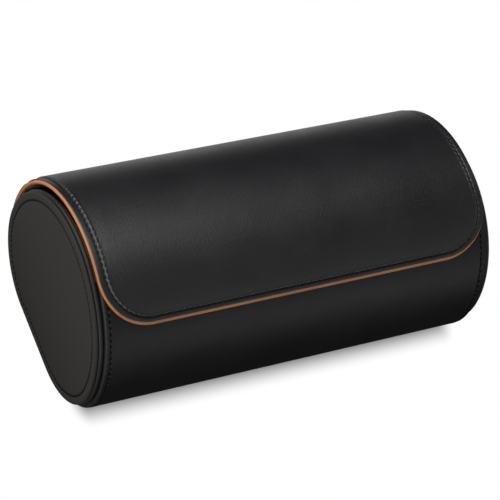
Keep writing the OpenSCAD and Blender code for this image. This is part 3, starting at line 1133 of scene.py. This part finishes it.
def settle(obj):
    # flattens the cushion on the floor of its compartment, keeps it in its space and sinks the seams
    co = meshPoints(obj.data) / mm
    half = np.array([pillow["length"], pillow["width"], pillow["height"]]) / 2
    give = pillow["give"]
    for axis in range(3):
        soft = half[axis] - give
        size = np.abs(co[:, axis])
        over = size - soft
        squeeze = np.where(over > 0, soft + give * np.tanh(over / give), size)
        co[:, axis] = np.sign(co[:, axis]) * squeeze
    along = np.abs(co[:, 0]) - (half[0] - pillow["seam"])
    sink = pillow["seamDepth"] * np.exp(-(along / pillow["seamWidth"]) ** 2)
    radial = co[:, 1:] / np.maximum(np.linalg.norm(co[:, 1:], axis=1, keepdims=True), 1e-6)
    co[:, 1:] -= radial * sink[:, None]
    co[:, 2] += half[2] + pillow["bottom"]
    obj.data.vertices.foreach_set("co", (co * mm).astype(np.float32).ravel())
    obj.data.update()


def pillowSeamLines(obj):
    # loops on the cover's surface where the end caps are sewn on
    tree = BVHTree.FromObject(obj, bpy.context.evaluated_depsgraph_get())
    height = (pillow["bottom"] + pillow["height"] / 2) * mm
    lines = []
    for side in (-1, 1):
        x = side * (pillow["length"] / 2 - pillow["seam"])
        line, outward = [], []
        for i in range(120):
            a = 2 * math.pi * i / 120
            direction = Vector((0, math.cos(a), math.sin(a)))
            origin = Vector((x * mm, 0, height))
            hit = tree.ray_cast(origin, direction)[0]
            line.append(tuple((hit - direction * 0.2 * mm) / mm))
            outward.append(tuple(direction))
        lines.append((line, outward, True))
    return lines


def makePillows():
    blank = pillowBlank()
    swell(blank)
    settle(blank)
    lines = pillowSeamLines(blank)
    turns = [math.radians(a) for a in range(0, 360, 36)]
    section = [(pillow["piping"] * math.cos(a), pillow["piping"] * math.sin(a)) for a in turns]
    shift = case["forward"]
    made = []
    for cell, cellName in ((-1, "left"), (0, "middle"), (1, "right")):
        cover = addObject(cellName + "Pillow", blank.data.copy())
        cover.data.transform(Matrix.Translation((cell * cellPitch * mm, shift * mm, 0)))
        cover.data.shade_smooth()
        dress(cover, "pillowSuede")
        body = cellName + "_pillow"
        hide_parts(body + "_cover", body + "_core")
        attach(cover, body)
        moved = [([(x + cell * cellPitch, y + shift, z) for x, y, z in line], outward, closed)
                 for line, outward, closed in lines]
        piping = sweepAlong(cellName + "PillowPiping", moved, section, "pipingSuede")
        dress(piping, "pipingSuede")
        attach(piping, body)
        made += [cover, piping]
    bpy.data.objects.remove(blank)
    return made


pillowPieces = makePillows()
print("pillows made:", [len(p.data.polygons) for p in pillowPieces])


# solids that stay as they are

nodeFinish = {
    "body_board": "fibreBoard", "tab_board": "fibreBoard", "flap_board": "fibreBoard",
    "left_end_board": "fibreBoard", "right_end_board": "fibreBoard",
    "catch_discs": "steel", "flap_magnets": "nickel",
}
for nodeName, finish in nodeFinish.items():
    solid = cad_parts[nodeName]
    solid.data.materials.clear()
    solid.data.materials.append(finishes[finish])
print("solids finished:", len(nodeFinish))


# floor, room, lamps and camera

studio = {
    "floorSize": 6.0,
    "floorHeight": -0.0003,
    "floorTone": 0.9,
    "floorBounce": 0.12,                # tone of the floor for the light that it throws back
    "shadowHalf": (0.09, 0.0345),       # half sizes of the part of the floor that keeps its own tone
    "shadowShift": 0.006,
    "shadowFade": 0.0145,
    "bandTone": (0.02, 0.75),           # how the floor mirrors in front of the case and behind it
    "bandStart": (0.03, 0.14),
    "bandEnd": (0.12, 0.28),
    "bandBeyond": 0.08,
    "ambient": 0.3,
    "roomTone": (0.01, 0.17),           # how the room mirrors behind the case and in front of it
    "roomRise": (-0.1, -0.7),
    "wallTone": 1.2,                    # of two pale walls that mirror in the ridges along the seams
    "wallRise": (0.7, 0.94),
    "wallShift": 0.1,
}
lamps = {
    "keyLamp": {"place": (-0.33, 0.5, 0.9), "size": (0.75, 1.5), "power": 10.5},
    "fillLamp": {"place": (-0.5, -0.36, 0.14), "size": (0.56, 0.56), "power": 1.2},
    "frontLamp": {"place": (0.5, -1.05, 0.05), "size": (0.9, 0.14), "power": 1.6},
}
view = {
    "azimuth": 47.087,
    "elevation": 53.328,
    "roll": -29.058,
    "lens": 168.26,
    "place": (-0.4567, -0.42418, 0.87629),
}


def seenPlainly(tree, light):
    return mathNode(tree, "MAXIMUM", light.outputs["Is Camera Ray"], light.outputs["Is Transmission Ray"])


def floorMaterial():
    material, tree, shader = newMaterial("paleFloor")
    setPlain(shader, Roughness=0.9, Specular_IOR_Level=0.0)
    light = addNode(tree, "ShaderNodeLightPath")
    seen = seenPlainly(tree, light)
    tone = mixColours(tree, seen, (studio["floorBounce"],) * 3, (studio["floorTone"],) * 3)
    putIn(tree, shader.inputs["Base Color"], tone)
    # white away from the case, its own shaded tone round the base
    place = addNode(tree, "ShaderNodeSeparateXYZ", {0: placeVector(tree)})
    beyond = addNode(tree, "ShaderNodeCombineXYZ")
    for axis, half, shift, stretch in (("X", studio["shadowHalf"][0], studio["shadowShift"], 1.5),
                                       ("Y", studio["shadowHalf"][1], case["forward"] * mm, 1.0)):
        away = mathNode(tree, "ABSOLUTE", mathNode(tree, "SUBTRACT", place.outputs[axis], shift))
        outside = mathNode(tree, "MAXIMUM", mathNode(tree, "SUBTRACT", away, half), 0.0)
        putIn(tree, beyond.inputs[axis], mathNode(tree, "MULTIPLY", outside, stretch))
    length = addNode(tree, "ShaderNodeVectorMath", {0: beyond}, operation="LENGTH")
    far = mapRange(tree, length.outputs["Value"], 0.0, studio["shadowFade"])
    white = addNode(tree, "ShaderNodeEmission")
    shown = mixShaders(tree, mathNode(tree, "MULTIPLY", seen, far), shader, white)
    # in the leather the floor mirrors as a bright band behind the case, dark in front of it and farther off
    left = mathNode(tree, "MULTIPLY_ADD", place.outputs["X"], -1.0, -0.05)
    behind = mathNode(tree, "MAXIMUM", place.outputs["Y"], left)
    level = mapRange(tree, behind, *studio["bandStart"], *studio["bandTone"])
    near = mapRange(tree, place.outputs["Y"], *studio["bandEnd"], 1.0, studio["bandBeyond"])
    card = addNode(tree, "ShaderNodeEmission", {"Strength": mathNode(tree, "MULTIPLY", level, near)})
    mirrored = mixShaders(tree, light.outputs["Is Glossy Ray"], shown, card)
    putIn(tree, tree.nodes["Material Output"].inputs["Surface"], mirrored)
    return material


def makeFloor():
    size, height = studio["floorSize"] / 2, studio["floorHeight"]
    mesh = bpy.data.meshes.new("floor")
    corners = [(-size, -size, height), (size, -size, height), (size, size, height), (-size, size, height)]
    mesh.from_pydata(corners, [], [(0, 1, 2, 3)])
    mesh.materials.append(floorMaterial())
    addObject("floor", mesh)


def makeWorld():
    world = bpy.data.worlds.new("studio")
    world.use_nodes = True
    bpy.context.scene.world = world
    tree = world.node_tree
    soft = tree.nodes["Background"]
    soft.inputs["Color"].default_value = (1, 1, 1, 1)
    light = addNode(tree, "ShaderNodeLightPath")
    direction = addNode(tree, "ShaderNodeTexCoord").outputs["Generated"]
    way = addNode(tree, "ShaderNodeSeparateXYZ", {0: direction})
    room = mapRange(tree, way.outputs["Y"], *studio["roomRise"], *studio["roomTone"])
    aside = mathNode(tree, "ABSOLUTE", mathNode(tree, "SUBTRACT", way.outputs["X"], studio["wallShift"]))
    walls = mapRange(tree, aside, *studio["wallRise"], 0.0, studio["wallTone"])
    level = addNode(tree, "ShaderNodeMix", {"Factor": light.outputs["Is Glossy Ray"], "A": studio["ambient"],
                                            "B": mathNode(tree, "MAXIMUM", room, walls)}, data_type="FLOAT")
    putIn(tree, soft.inputs["Strength"], level)
    mixed = mixShaders(tree, seenPlainly(tree, light), soft, addNode(tree, "ShaderNodeBackground"))
    putIn(tree, tree.nodes["World Output"].inputs["Surface"], mixed)


def makeLamp(name, place, size, power):
    lamp = bpy.data.lights.new(name, "AREA")
    lamp.shape = "RECTANGLE"
    lamp.size, lamp.size_y = size
    lamp.energy = power
    obj = addObject(name, lamp)
    obj.location = place
    obj.rotation_euler = (Vector((0, 0, 0.04)) - Vector(place)).to_track_quat("-Z", "Y").to_euler()


def makeCamera():
    azimuth, elevation, roll = (math.radians(view[key]) for key in ("azimuth", "elevation", "roll"))
    ahead = Vector((math.sin(azimuth) * math.cos(elevation), math.cos(azimuth) * math.cos(elevation),
                    -math.sin(elevation)))
    level = ahead.cross(Vector((0, 0, 1))).normalized()
    up = level.cross(ahead) * math.cos(roll) + level * math.sin(roll)
    right = ahead.cross(up)
    camera = bpy.data.cameras.new("camera")
    camera.lens = view["lens"]
    camera.sensor_width = 36
    camera.clip_start = 0.01
    camera.clip_end = 20
    obj = addObject("camera", camera)
    obj.matrix_world = Matrix.Translation(view["place"]) @ Matrix((right, up, -ahead)).transposed().to_4x4()
    bpy.context.scene.camera = obj


makeFloor()
makeWorld()
for name, lamp in lamps.items():
    makeLamp(name, **lamp)
makeCamera()
bpy.context.scene.view_settings.view_transform = "Standard"

print("stage made")
